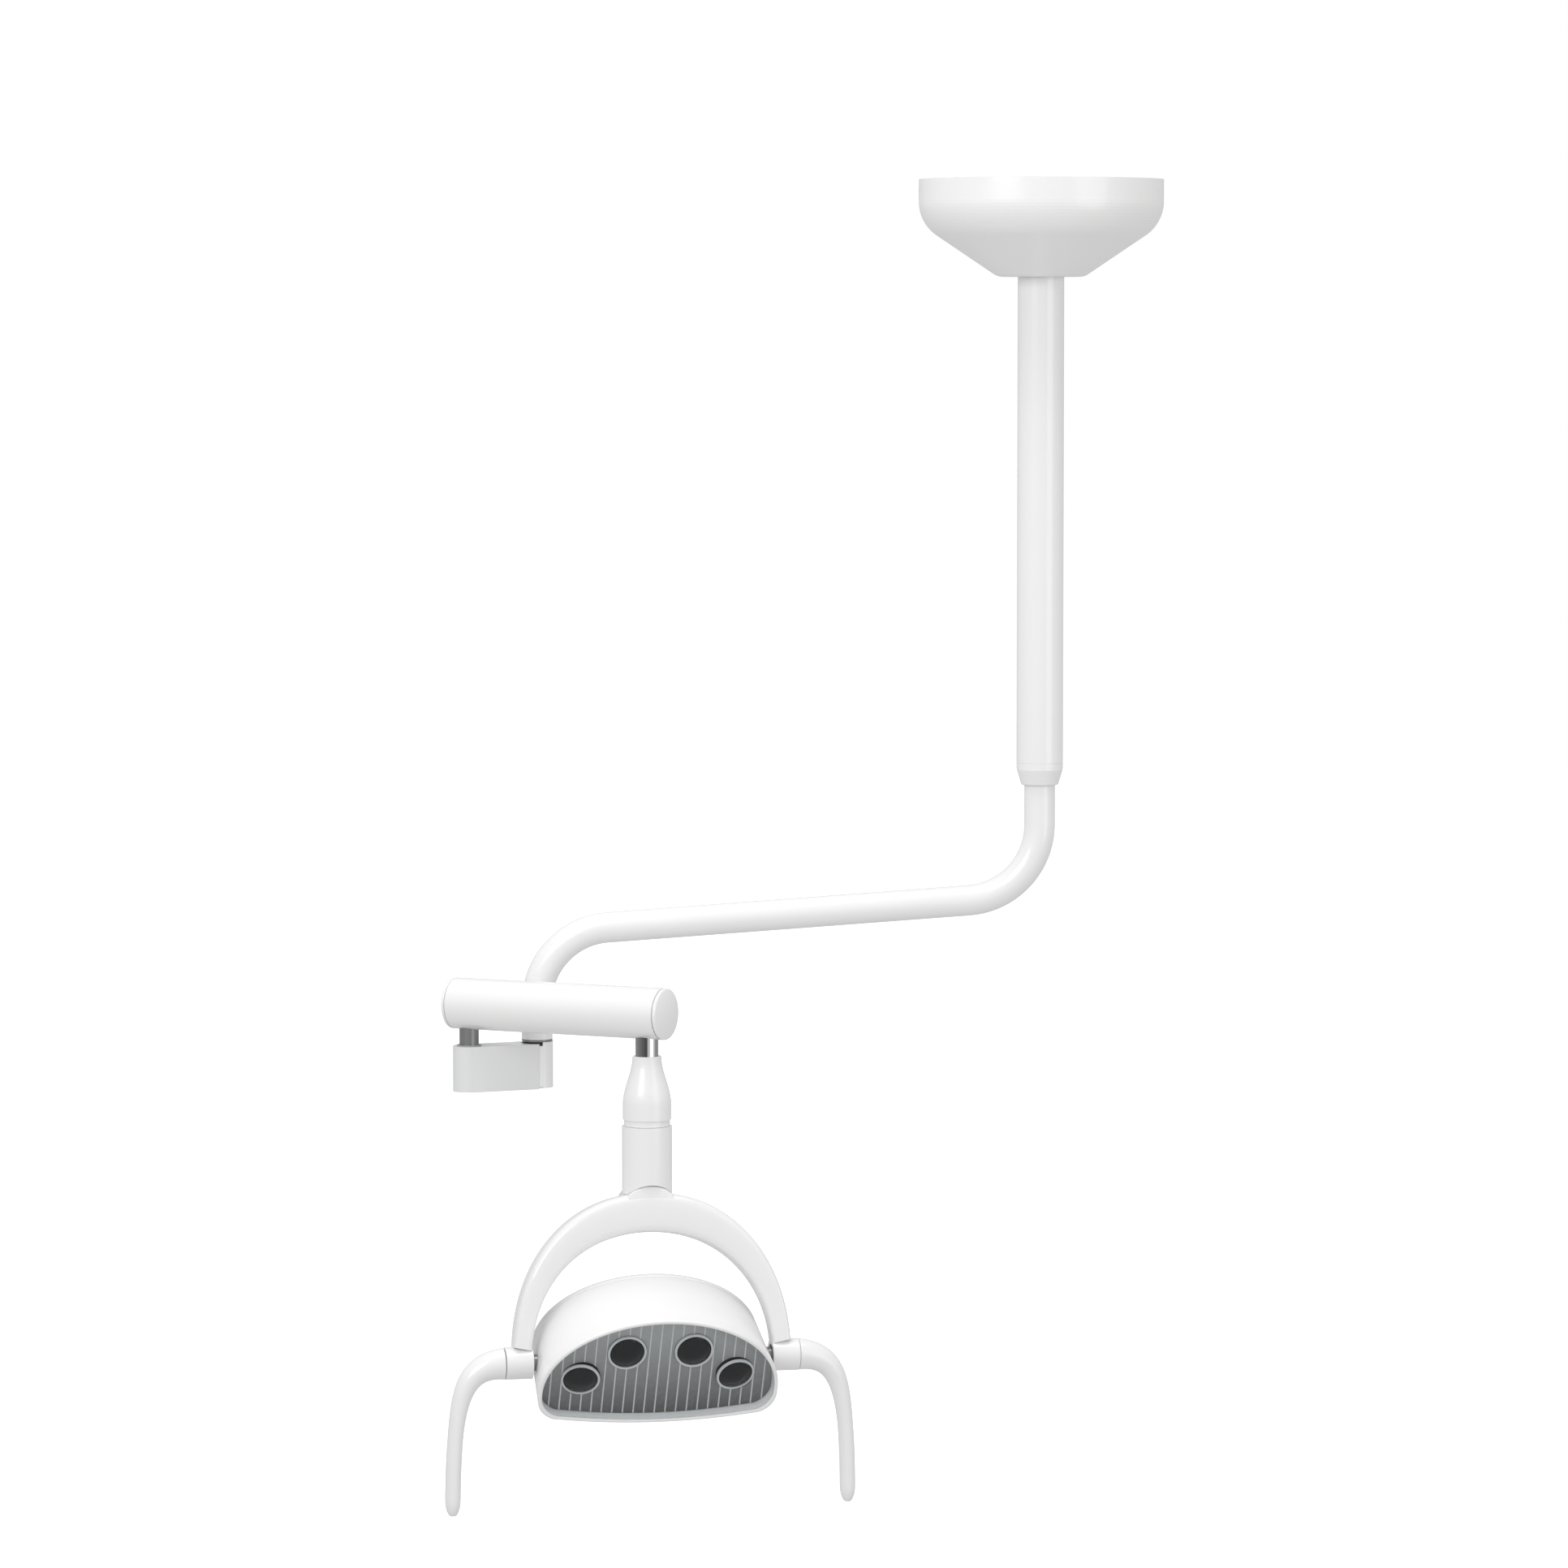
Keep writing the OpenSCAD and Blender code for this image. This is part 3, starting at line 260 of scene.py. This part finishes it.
def whiteFinish(name, colour, rough, peel, coat):
    # glossy paint or moulded plastic, with a faint orange peel and a little handling haze
    m = Maker(name, IOR=1.5, Coat_Weight=coat, Coat_Roughness=0.06)
    haze = m.noise(9, 4, 0.6)
    fine = m.noise(620, 2, 0.5)
    m.to("Base Color", m.mix(haze, rgb(*[c * 0.985 for c in colour]), rgb(*colour)))
    m.to("Roughness", haze * 0.08 + (rough - 0.04) + fine * 0.02)
    m.bump(m.noise(260, 2, 0.55), peel)
    return m.material


def metalFinish(name, colour, rough, grain, stretch=(1, 1, 12)):
    # turned or drawn metal: fine scratches round the axis
    m = Maker(name, Metallic=1.0)
    lines = m.add("ShaderNodeMapping", {}, {"Vector": m.place, "Scale": stretch})
    scratch = m.noise(160, 4, 0.6, at=lines)
    blotch = m.noise(14, 3, 0.5)
    m.to("Base Color", m.mix(blotch, rgb(*[c * 0.9 for c in colour]), rgb(*colour)))
    m.to("Roughness", scratch * 0.16 + blotch * 0.06 + (rough - 0.1))
    m.bump(scratch, grain, 0.0002)
    return m.material


def matteFinish(name, colour, rough, grain=0.25):
    m = Maker(name)
    speck = m.noise(380, 3, 0.6)
    cloud = m.noise(22, 3, 0.5)
    m.to("Base Color", m.mix(cloud, rgb(*[c * 0.88 for c in colour]), rgb(*colour)))
    m.to("Roughness", speck * 0.12 + (rough - 0.05))
    m.bump(speck, grain, 0.0003)
    return m.material


tilt = joints["head_tilt"]
pivot = Vector(tilt["pos_m"])
across = Vector(tilt["axis"]).normalized()
headDown = 27
yaw = math.atan2(across.y, across.x)
atPivot = Matrix.Translation(pivot) @ Matrix.Rotation(yaw, 4, "Z")
atHead = atPivot @ Matrix.Rotation(math.radians(headDown), 4, "X")
headUp = atHead.to_3x3() @ Vector((0, 0, 1))

plateLook = {
    # the dark and light tones are painted shade at the plate's foot and painted light at its top, with the heights
    # where each is full
    "pitch": 13.1, "line": 1.5, "dark": 0.12, "light": 0.5, "lineTone": 0.8, "lineShare": 0.75,
    "paintedShadeFullAt": -0.045, "paintedLightFullAt": 0.085,
}


def stripedPlate():
    # the dark plate behind the lenses: upright light ribs, with painted shade at the foot turning to painted light
    # towards the top
    m = Maker("stripedPlate", IOR=1.3, Coat_Weight=0.15, Coat_Roughness=0.12)
    x = m.along(pivot, across) / (plateLook["pitch"] * mm) + 0.5
    phase = x.math("FRACT").math("SUBTRACT", 0.5).math("ABSOLUTE")
    half = plateLook["line"] / plateLook["pitch"] / 2
    line = m.ramp(phase, (half * 0.8, 1.0), (half * 1.5, 0.0))
    # painted light and shade: the plate's colour goes from dark at its foot to pale at its top, by height along
    # the head
    height = m.along(pivot, headUp)
    paintedLightFade = m.add("ShaderNodeMapRange", {}, {
        "Value": height, "From Min": plateLook["paintedShadeFullAt"], "From Max": plateLook["paintedLightFullAt"],
        "To Min": 0.0, "To Max": 1.0,
    })
    # the plate's ground colour carries the painted shade and painted light
    ground = m.mix(paintedLightFade, rgb(plateLook["dark"]), rgb(plateLook["light"]))
    m.to("Base Color", m.mix(line * plateLook["lineShare"], ground, rgb(plateLook["lineTone"])))
    m.to("Roughness", m.noise(120, 3) * 0.1 + 0.22)
    m.bump(line, 0.5, 0.0008)
    return m.material


def clearPlastic():
    # a clear moulded window: what is behind shows, with the gloss of its surface on top
    m = Maker("clearPlastic")
    gloss = m.add("ShaderNodeBsdfGlossy", {}, {"Color": rgb(1.0), "Roughness": 0.04}, output="BSDF")
    through = m.add("ShaderNodeBsdfTransparent", {}, {"Color": rgb(0.97, 0.98, 0.985)}, output="BSDF")
    edge = m.add("ShaderNodeFresnel", {}, {"IOR": 1.45})
    haze = m.noise(7, 3, 0.5) * 0.03
    share = (edge + haze) * 0.16
    shown = m.add("ShaderNodeMixShader", {}, {0: share, 1: through, 2: gloss}, output="Shader")
    out = next(n for n in m.nodes if n.type == "OUTPUT_MATERIAL")
    m.links.new(shown.socket, out.inputs["Surface"])
    return m.material


def lensGlass():
    m = Maker("lensGlass", IOR=1.22, Coat_Weight=0.35, Coat_Roughness=0.03)
    deep = m.noise(30, 2)
    m.to("Base Color", m.mix(deep, rgb(0.001, 0.001, 0.0015), rgb(0.003, 0.003, 0.004)))
    m.to("Roughness", m.noise(300, 2) * 0.03 + 0.05)
    m.bump(m.noise(90, 2), 0.01)
    return m.material


def boardGreen():
    m = Maker("boardGreen")
    tracks = m.add("ShaderNodeTexBrick", {"offset": 0.5}, {
        "Vector": m.place, "Scale": 90.0,
        "Color1": rgb(0.02, 0.16, 0.07), "Color2": rgb(0.03, 0.2, 0.09), "Mortar": rgb(0.3, 0.26, 0.1),
    })
    m.to("Base Color", tracks)
    m.to("Roughness", m.noise(200) * 0.2 + 0.35)
    return m.material


def chromePaintedReflections():
    # polished chrome with a painted reflection: upright dark and bright bands put into the colour, as a bright
    # room would reflect on a thin post
    m = Maker("polishedChrome", Metallic=1.0)
    stem = joints["lamp_swivel"]["pos_m"]
    x = m.along(stem, (1, 0, 0))
    y = m.along(stem, (0, 1, 0))
    turn = y.math("ARCTAN2", x) / (2 * math.pi) + 0.5
    paintedReflectionBands = m.ramp(
        (turn * 2.0).math("FRACT"),
        (0.0, 0.75), (0.1, 0.22), (0.2, 0.3), (0.36, 0.16),
        (0.5, 0.05), (0.56, 0.9), (0.7, 0.95), (0.78, 0.35),
    )
    # the painted reflection bands, with a little random tone, make the chrome's base colour
    m.to("Base Color", m.mix(m.noise(40, 3) * 0.15, paintedReflectionBands, rgb(0.6)))
    m.to("Roughness", m.noise(300, 2) * 0.05 + 0.08)
    return m.material


looks = {
    "white_paint": whiteFinish("whitePaint", (0.91, 0.91, 0.908), 0.2, 0.05, 0.6),
    "white_plastic": whiteFinish("whitePlastic", (0.9, 0.9, 0.898), 0.24, 0.03, 0.4),
    "grey_cover": whiteFinish("greyCover", (0.8, 0.803, 0.807), 0.28, 0.04, 0.3),
    "bright_steel": metalFinish("brightSteel", (0.3, 0.3, 0.3), 0.32, 0.2),
    "chrome": chromePaintedReflections(),
    "zinc": metalFinish("zincPlate", (0.52, 0.53, 0.55), 0.42, 0.25, (1, 1, 1)),
    "cast": matteFinish("castIron", (0.16, 0.165, 0.17), 0.6, 0.6),
    "alloy": metalFinish("machinedAlloy", (0.66, 0.67, 0.69), 0.34, 0.3, (1, 6, 1)),
    "brass": metalFinish("turnedBrass", (0.66, 0.48, 0.2), 0.3, 0.2, (1, 1, 8)),
    "bush": matteFinish("bushPlastic", (0.035, 0.035, 0.038), 0.5),
    "grey_ring": matteFinish("greyRing", (0.42, 0.425, 0.43), 0.4, 0.15),
    "dark_plate": stripedPlate(),
    "clear": clearPlastic(),
    "lens": lensGlass(),
    "lens_ring": matteFinish("ringPaint", (0.72, 0.73, 0.74), 0.3, 0.1),
    "board": boardGreen(),
    "ivory": matteFinish("ivoryPlastic", (0.6, 0.57, 0.46), 0.45, 0.15),
}
print("materials ready:", len(looks))

slotOf = {p["node"]: p["material_slot"] for p in frame["record"]["subparts"]}
for nodeName, piece in frame["nodes"].items():
    piece.data.materials.clear()
    piece.data.materials.append(looks[slotOf[nodeName]])
    smooth(piece, 30)
print("CAD nodes dressed:", len(frame["nodes"]))


# lamp head

headSize = {
    "halfWidth": 147, "crown": 103, "low": 33, "corner": 30, "bow": 14, "sink": 8,
    "front": -56, "rear": 44, "taper": 0.955, "coverHeight": 20, "wall": 4.6,
}


def headRing(y, k=1.0, inset=0.0):
    # the head's outline at one depth: elliptic crown, round lower corners, bowed lower edge
    s = headSize
    a = s["halfWidth"] * k - inset
    b = s["crown"] * k - inset
    low = max(s["low"] * k - inset, 4)
    bow = s["bow"]
    r = min(s["corner"], low * 1.2)

    cornerZ = -low + 0.8 * r

    def arc(x, z, rx, rz, turns):
        angles = [math.radians(u) for u in turns]
        return [(x + rx * math.cos(u), z + rz * math.sin(u)) for u in angles]

    pts = arc(0, 0, a, b, [180 * i / 60 for i in range(61)])
    pts += arc(-a + r, cornerZ, r, r, [180 + 70 * i / 12 for i in range(1, 13)])
    left, right = pts[-1][0], -pts[-1][0]
    foot = pts[-1][1]
    for i in range(1, 24):
        x = left + (right - left) * i / 24
        t = 1 - (x / left) ** 2
        pts.append((x, foot - (bow - 0.14 * r) * t))
    pts += arc(a - r, cornerZ, r, r, [290 + 70 * i / 12 for i in range(12)])
    return [(x * mm, y * mm, (z - s["sink"]) * mm) for x, z in pts]


def sectionRings(steps):
    return [headRing(*step) for step in steps]


def makeHeadShell():
    f, r, k, wall = headSize["front"], headSize["rear"], headSize["taper"], headSize["wall"]

    def mid(y):
        return 1 - (1 - k) * (y - f) / (r - f)

    steps = [
        (f + 16, mid(f + 16), wall), (f + 1.4, 1, wall), (f + 0.5, 1, 4.3), (f, 1, 3.5), (f, 1, 2.0),
        (f + 0.3, 1, 1.1), (f + 1.0, 1, 0.4), (f + 2.2, 1, 0),
        (f + 20, mid(f + 20), 0), (f + 40, mid(f + 40), 0), (f + 60, mid(f + 60), 0),
        (r - 1.2, mid(r - 1.2), 0), (r - 0.4, k, 0.25), (r - 0.1, k, 0.9), (r - 0.1, k, 3.0),
        (r - 20, mid(r - 20), 3.2), (f + 40, mid(f + 40), 3.4),
    ]
    piece = loft("headShell", sectionRings(steps), closed=True)
    place(piece, atHead)
    return finishPiece(piece, "head", "white_plastic", ["head_shell"], 40)


def makeRearCover():
    r, k, h = headSize["rear"], headSize["taper"], headSize["coverHeight"]
    steps = [(r + 0.1, k, 3.2), (r + 0.1, k, 0.9), (r + 0.4, k, 0.25), (r + 1.2, k, 0)]
    for i in range(1, 11):
        a = math.radians(90 * i / 10)
        steps.append((r + 1.2 + (h - 2.2) * math.sin(a) ** 0.9, k, 30 * (1 - math.cos(a)) ** 1.15))
    back = r + h
    steps += [(back - 0.7, k, 31.5), (back - 0.75, k, 33), (back - 1.6, k, 33.4), (back - 1.6, k, 36)]
    piece = loft("rearCover", sectionRings(steps), capStart=False)
    place(piece, atHead)
    return finishPiece(piece, "head", "white_plastic", ["rear_cover"], 40)


makeHeadShell()
makeRearCover()
print("head shell done")


# handles

handleSize = {
    "from": 181.0, "out": 244.0, "len": 197.0, "lean": -26, "splay": 26.0,
    "hub": 19.5, "grip": 9.5, "depth": 13.0, "tipAt": 0.94, "rings": 40, "sides": 32,
}


def handlePath(u):
    s = handleSize
    elbow = s["out"] - s["from"] - s["splay"]
    x = s["from"] + elbow * (1 - (1 - u) ** 5) + s["splay"] * (1 - (1 - u) ** 2)
    z = -(s["len"] - s["depth"]) * u ** 1.75
    return x, z


def handleRing(u, grow=1.0):
    s = handleSize
    x, z = handlePath(u)
    a = 0.0
    if u > 0:
        x1, z1 = handlePath(min(u + 0.01, 1.01))
        x0, z0 = handlePath(max(u - 0.01, 0))
        a = math.atan2(z1 - z0, x1 - x0)
    swell = max(1 - 1.5 * u, 0) ** 1.6
    tip = 1.0
    if u >= s["tipAt"]:
        tip = math.sqrt(max(1 - ((u - s["tipAt"]) / 0.066) ** 2, 0.02))
    w = (s["grip"] + (s["hub"] - s["grip"]) * swell) * tip * grow
    d = (s["depth"] + (s["hub"] - s["depth"]) * swell) * tip * grow
    ring = []
    for i in range(s["sides"]):
        b = 2 * math.pi * i / s["sides"]
        off = w * math.cos(b)
        ring.append(((x - off * math.sin(a)) * mm, d * math.sin(b) * mm, (z + off * math.cos(a)) * mm))
    return ring


def makeHandles():
    # the first ring is drawn in a little, and the rings stand closer at the round tip
    n = handleSize["rings"]
    stops = [0.004] + [0.01 + 0.93 * i / n for i in range(n)]
    stops += [handleSize["tipAt"], 0.955, 0.97, 0.982, 0.991, 0.997, 1.0]
    rings = [handleRing(0, 0.95)] + [handleRing(u) for u in stops]
    right = loft("handleRight", rings)
    useModifier(right, "SUBSURF", levels=1, render_levels=1)
    left = mirrorCopy(right, "handleLeft")
    leaning = atHead @ Matrix.Rotation(math.radians(handleSize["lean"]), 4, "X")
    place(right, leaning)
    place(left, leaning)
    finishPiece(right, "head", "white_plastic", ["handle_right"])
    finishPiece(left, "head", "white_plastic", ["handle_left"])


makeHandles()
print("handles done")


# arm end caps

armLine = {"z": -1010.01, "turn": -27.0, "start": -17.0, "end": 270.0, "lip": 28.8, "lipX": 5.7}
capProfile = [
    (-2.5, 29.2), (1.4, 29.2), (1.4, 30.4), (1.6, 31.0), (2.1, 31.35),
    (2.9, 31.5), (3.9, 31.35), (4.8, 30.8), (5.4, 30.0), (5.7, 28.8),
]


def makeArmCap(name, end, side, crown, node):
    # a domed cap that stands off the tube's end by a narrow dark joint
    steps = list(capProfile)
    lip = armLine["lip"]
    for i in range(1, 9):
        r = lip * (1 - i / 8) + 0.4
        steps.append((armLine["lipX"] + crown * (1 - (r / lip) ** 2), r))
    turns = [2 * math.pi * i / 96 for i in range(96)]
    rings = []
    for x, r in steps:
        at = (end + side * x) * mm
        rings.append([(at, r * math.cos(u) * mm, r * math.sin(u) * mm) for u in turns])
    piece = loft(name, rings)
    postAt = joints["arm_swivel"]["pos_m"]
    turned = Matrix.Rotation(math.radians(armLine["turn"]), 4, "Z")
    postTop = Matrix.Translation((postAt[0], postAt[1], armLine["z"] * mm))
    place(piece, postTop @ turned)
    return finishPiece(piece, "arm", "white_plastic", [node])


makeArmCap("armCapRight", armLine["end"], 1, 4.0, "arm_cap_right")
makeArmCap("armCapLeft", armLine["start"], -1, 1.0, "arm_cap_left")
print("arm caps done")


# yoke

yokeSize = {
    "outA": 171.0, "outB": 201.0, "inA": 148.5, "inB": 153.0, "power": 2.15,
    "crownDepth": 54.0, "legDepth": 34.0, "deepAt": 175, "ahead": 28.0, "legEnd": 4.5, "sections": 72,
}
lean = math.asin(yokeSize["ahead"] / yokeSize["outB"])
atYoke = atPivot @ Matrix.Rotation(-lean, 4, "X")


def archPoint(a, b, angle):
    p = 2 / yokeSize["power"]
    c, s = math.cos(angle), math.sin(angle)
    return a * math.copysign(abs(c) ** p, c), b * abs(s) ** p


# from the seam on the outside, over the ridge, to the seam on the inside
yokeOutline = [
    (1.0, 0.0), (1.0, 0.30), (0.995, 0.55), (0.975, 0.75), (0.93, 0.90),
    (0.86, 0.98), (0.78, 1.0), (0.6, 0.985), (0.4, 0.95), (0.2, 0.9),
    (0.1, 0.85), (0.04, 0.76), (0.01, 0.62), (0.0, 0.4), (0.0, 0.0),
]


def yokeRing(angle, half):
    # one section of the yoke, of its front (-1) or rear (1) half
    s = yokeSize
    ox, oz = archPoint(s["outA"], s["outB"], angle)
    ix, iz = archPoint(s["inA"], s["inB"], angle)
    out, inner = Vector((ox, 0, oz)), Vector((ix, 0, iz))
    thick = (out - inner).length
    radial = (out - inner) / thick
    z = (oz + iz) / 2
    deep = (s["legDepth"] + (s["crownDepth"] - s["legDepth"]) * min(z / s["deepAt"], 1)) / 2
    ring = []
    for u, v in yokeOutline:
        p = inner + radial * (thick * u)
        ring.append((p.x * mm, half * v * deep * mm, p.z * mm))
    return ring


def makeYokeHalf(name, half, node):
    ends = math.radians(yokeSize["legEnd"])
    n = yokeSize["sections"]
    rings = [yokeRing(ends + (math.pi - 2 * ends) * i / n, half) for i in range(n + 1)]
    piece = loft(name, rings)
    place(piece, atYoke)
    return finishPiece(piece, "yoke", "white_plastic", [node], 30)


saddleSize = {"radius": 36.0, "axisZ": -1253.01, "keep": 8.0, "half": 27.0, "edge": 2.5}


def makeSaddle():
    # the round boss on the yoke's crown, on which the neck's arched foot sits
    s = saddleSize
    low = math.asin(s["keep"] / s["radius"])
    outline = []
    for i in range(49):
        a = low + (math.pi - 2 * low) * i / 48
        outline.append((s["radius"] * math.cos(a), s["radius"] * math.sin(a)))
    rings = []
    ending = [(s["half"], s["edge"]), (s["half"] - 0.7, s["edge"] * 0.3), (s["half"] - s["edge"], 0)]
    for y, inset in [(-y, inset) for y, inset in ending] + [(0, 0)] + ending[::-1]:
        share = 1 - inset / s["radius"]
        rings.append([(x * share * mm, y * mm, z * share * mm) for x, z in outline])
    piece = loft("yokeSaddle", rings)
    stemAt = joints["lamp_swivel"]["pos_m"]
    axis = Matrix.Translation((stemAt[0], stemAt[1], s["axisZ"] * mm))
    place(piece, axis @ Matrix.Rotation(yaw, 4, "Z"))
    return finishPiece(piece, "yoke", "white_plastic")


makeYokeHalf("yokeFront", -1, "yoke_front")
makeYokeHalf("yokeRear", 1, "yoke_rear")
makeSaddle()
print("yoke done")


# room

room = {"floorZ": -2.75, "floorSize": 60.0, "white": 0.93, "floorGlow": 0.7, "seen": 1.0, "lit": 0.6}


def makeFloor():
    clearSelection()
    bpy.ops.mesh.primitive_plane_add(size=room["floorSize"], location=(0, 0, room["floorZ"]))
    floor = bpy.context.object
    floor.name = "floor"
    glow = {"Emission_Color": rgb(1.0), "Emission_Strength": room["floorGlow"]}
    m = Maker("paleFloor", Roughness=0.6, Specular_IOR_Level=0.2, **glow)
    m.to("Base Color", m.mix(m.noise(1.2, 3), rgb(room["white"] * 0.99), rgb(room["white"])))
    floor.data.materials.append(m.material)
    floor.visible_diffuse = False
    floor.visible_glossy = False


def makeWorld():
    # the camera sees plain white, while the pieces are lit by a dimmer sky
    world = bpy.data.worlds.new("studio")
    bpy.context.scene.world = world
    world.use_nodes = True
    nodes, links = world.node_tree.nodes, world.node_tree.links
    nodes.clear()
    seen = nodes.new("ShaderNodeBackground")
    seen.inputs["Color"].default_value = rgb(room["seen"])
    seen.inputs["Strength"].default_value = 1.0
    lit = nodes.new("ShaderNodeBackground")
    lit.inputs["Color"].default_value = rgb(room["lit"])
    lit.inputs["Strength"].default_value = 1.0
    path = nodes.new("ShaderNodeLightPath")
    mix = nodes.new("ShaderNodeMixShader")
    out = nodes.new("ShaderNodeOutputWorld")
    links.new(path.outputs["Is Camera Ray"], mix.inputs[0])
    links.new(lit.outputs[0], mix.inputs[1])
    links.new(seen.outputs[0], mix.inputs[2])
    links.new(mix.outputs[0], out.inputs["Surface"])


softboxes = {
    "keyLight": {"at": (-2.6, -3.6, 1.2), "size": (2.4, 2.4), "power": 64},
    "fillLight": {"at": (3.2, -3.2, -0.3), "size": (2.4, 3.0), "power": 26},
    "topLight": {"at": (-0.3, -0.6, 2.4), "size": (3.0, 2.0), "power": 52},
}


lampMiddle = Vector((-0.35, 0, -0.85))


def makeLights():
    for name, s in softboxes.items():
        clearSelection()
        bpy.ops.object.light_add(type="AREA", location=s["at"])
        light = bpy.context.object
        light.name = name
        light.data.shape = "RECTANGLE"
        light.data.size, light.data.size_y = s["size"]
        light.data.energy = s["power"]
        light.rotation_euler = (lampMiddle - Vector(s["at"])).to_track_quat("-Z", "Y").to_euler()


view = {"at": (-0.315, -7.9805, -0.1839), "pitch": 86, "lens": 149.07, "sensor": 36}


def makeCamera():
    clearSelection()
    bpy.ops.object.camera_add(location=view["at"], rotation=(math.radians(view["pitch"]), 0, 0))
    camera = bpy.context.object
    camera.name = "mainCamera"
    camera.data.sensor_width = view["sensor"]
    camera.data.lens = view["lens"]
    bpy.context.scene.camera = camera


makeFloor()
makeWorld()
makeLights()
makeCamera()
bpy.context.scene.view_settings.view_transform = "Standard"
print("room, lights and camera done")
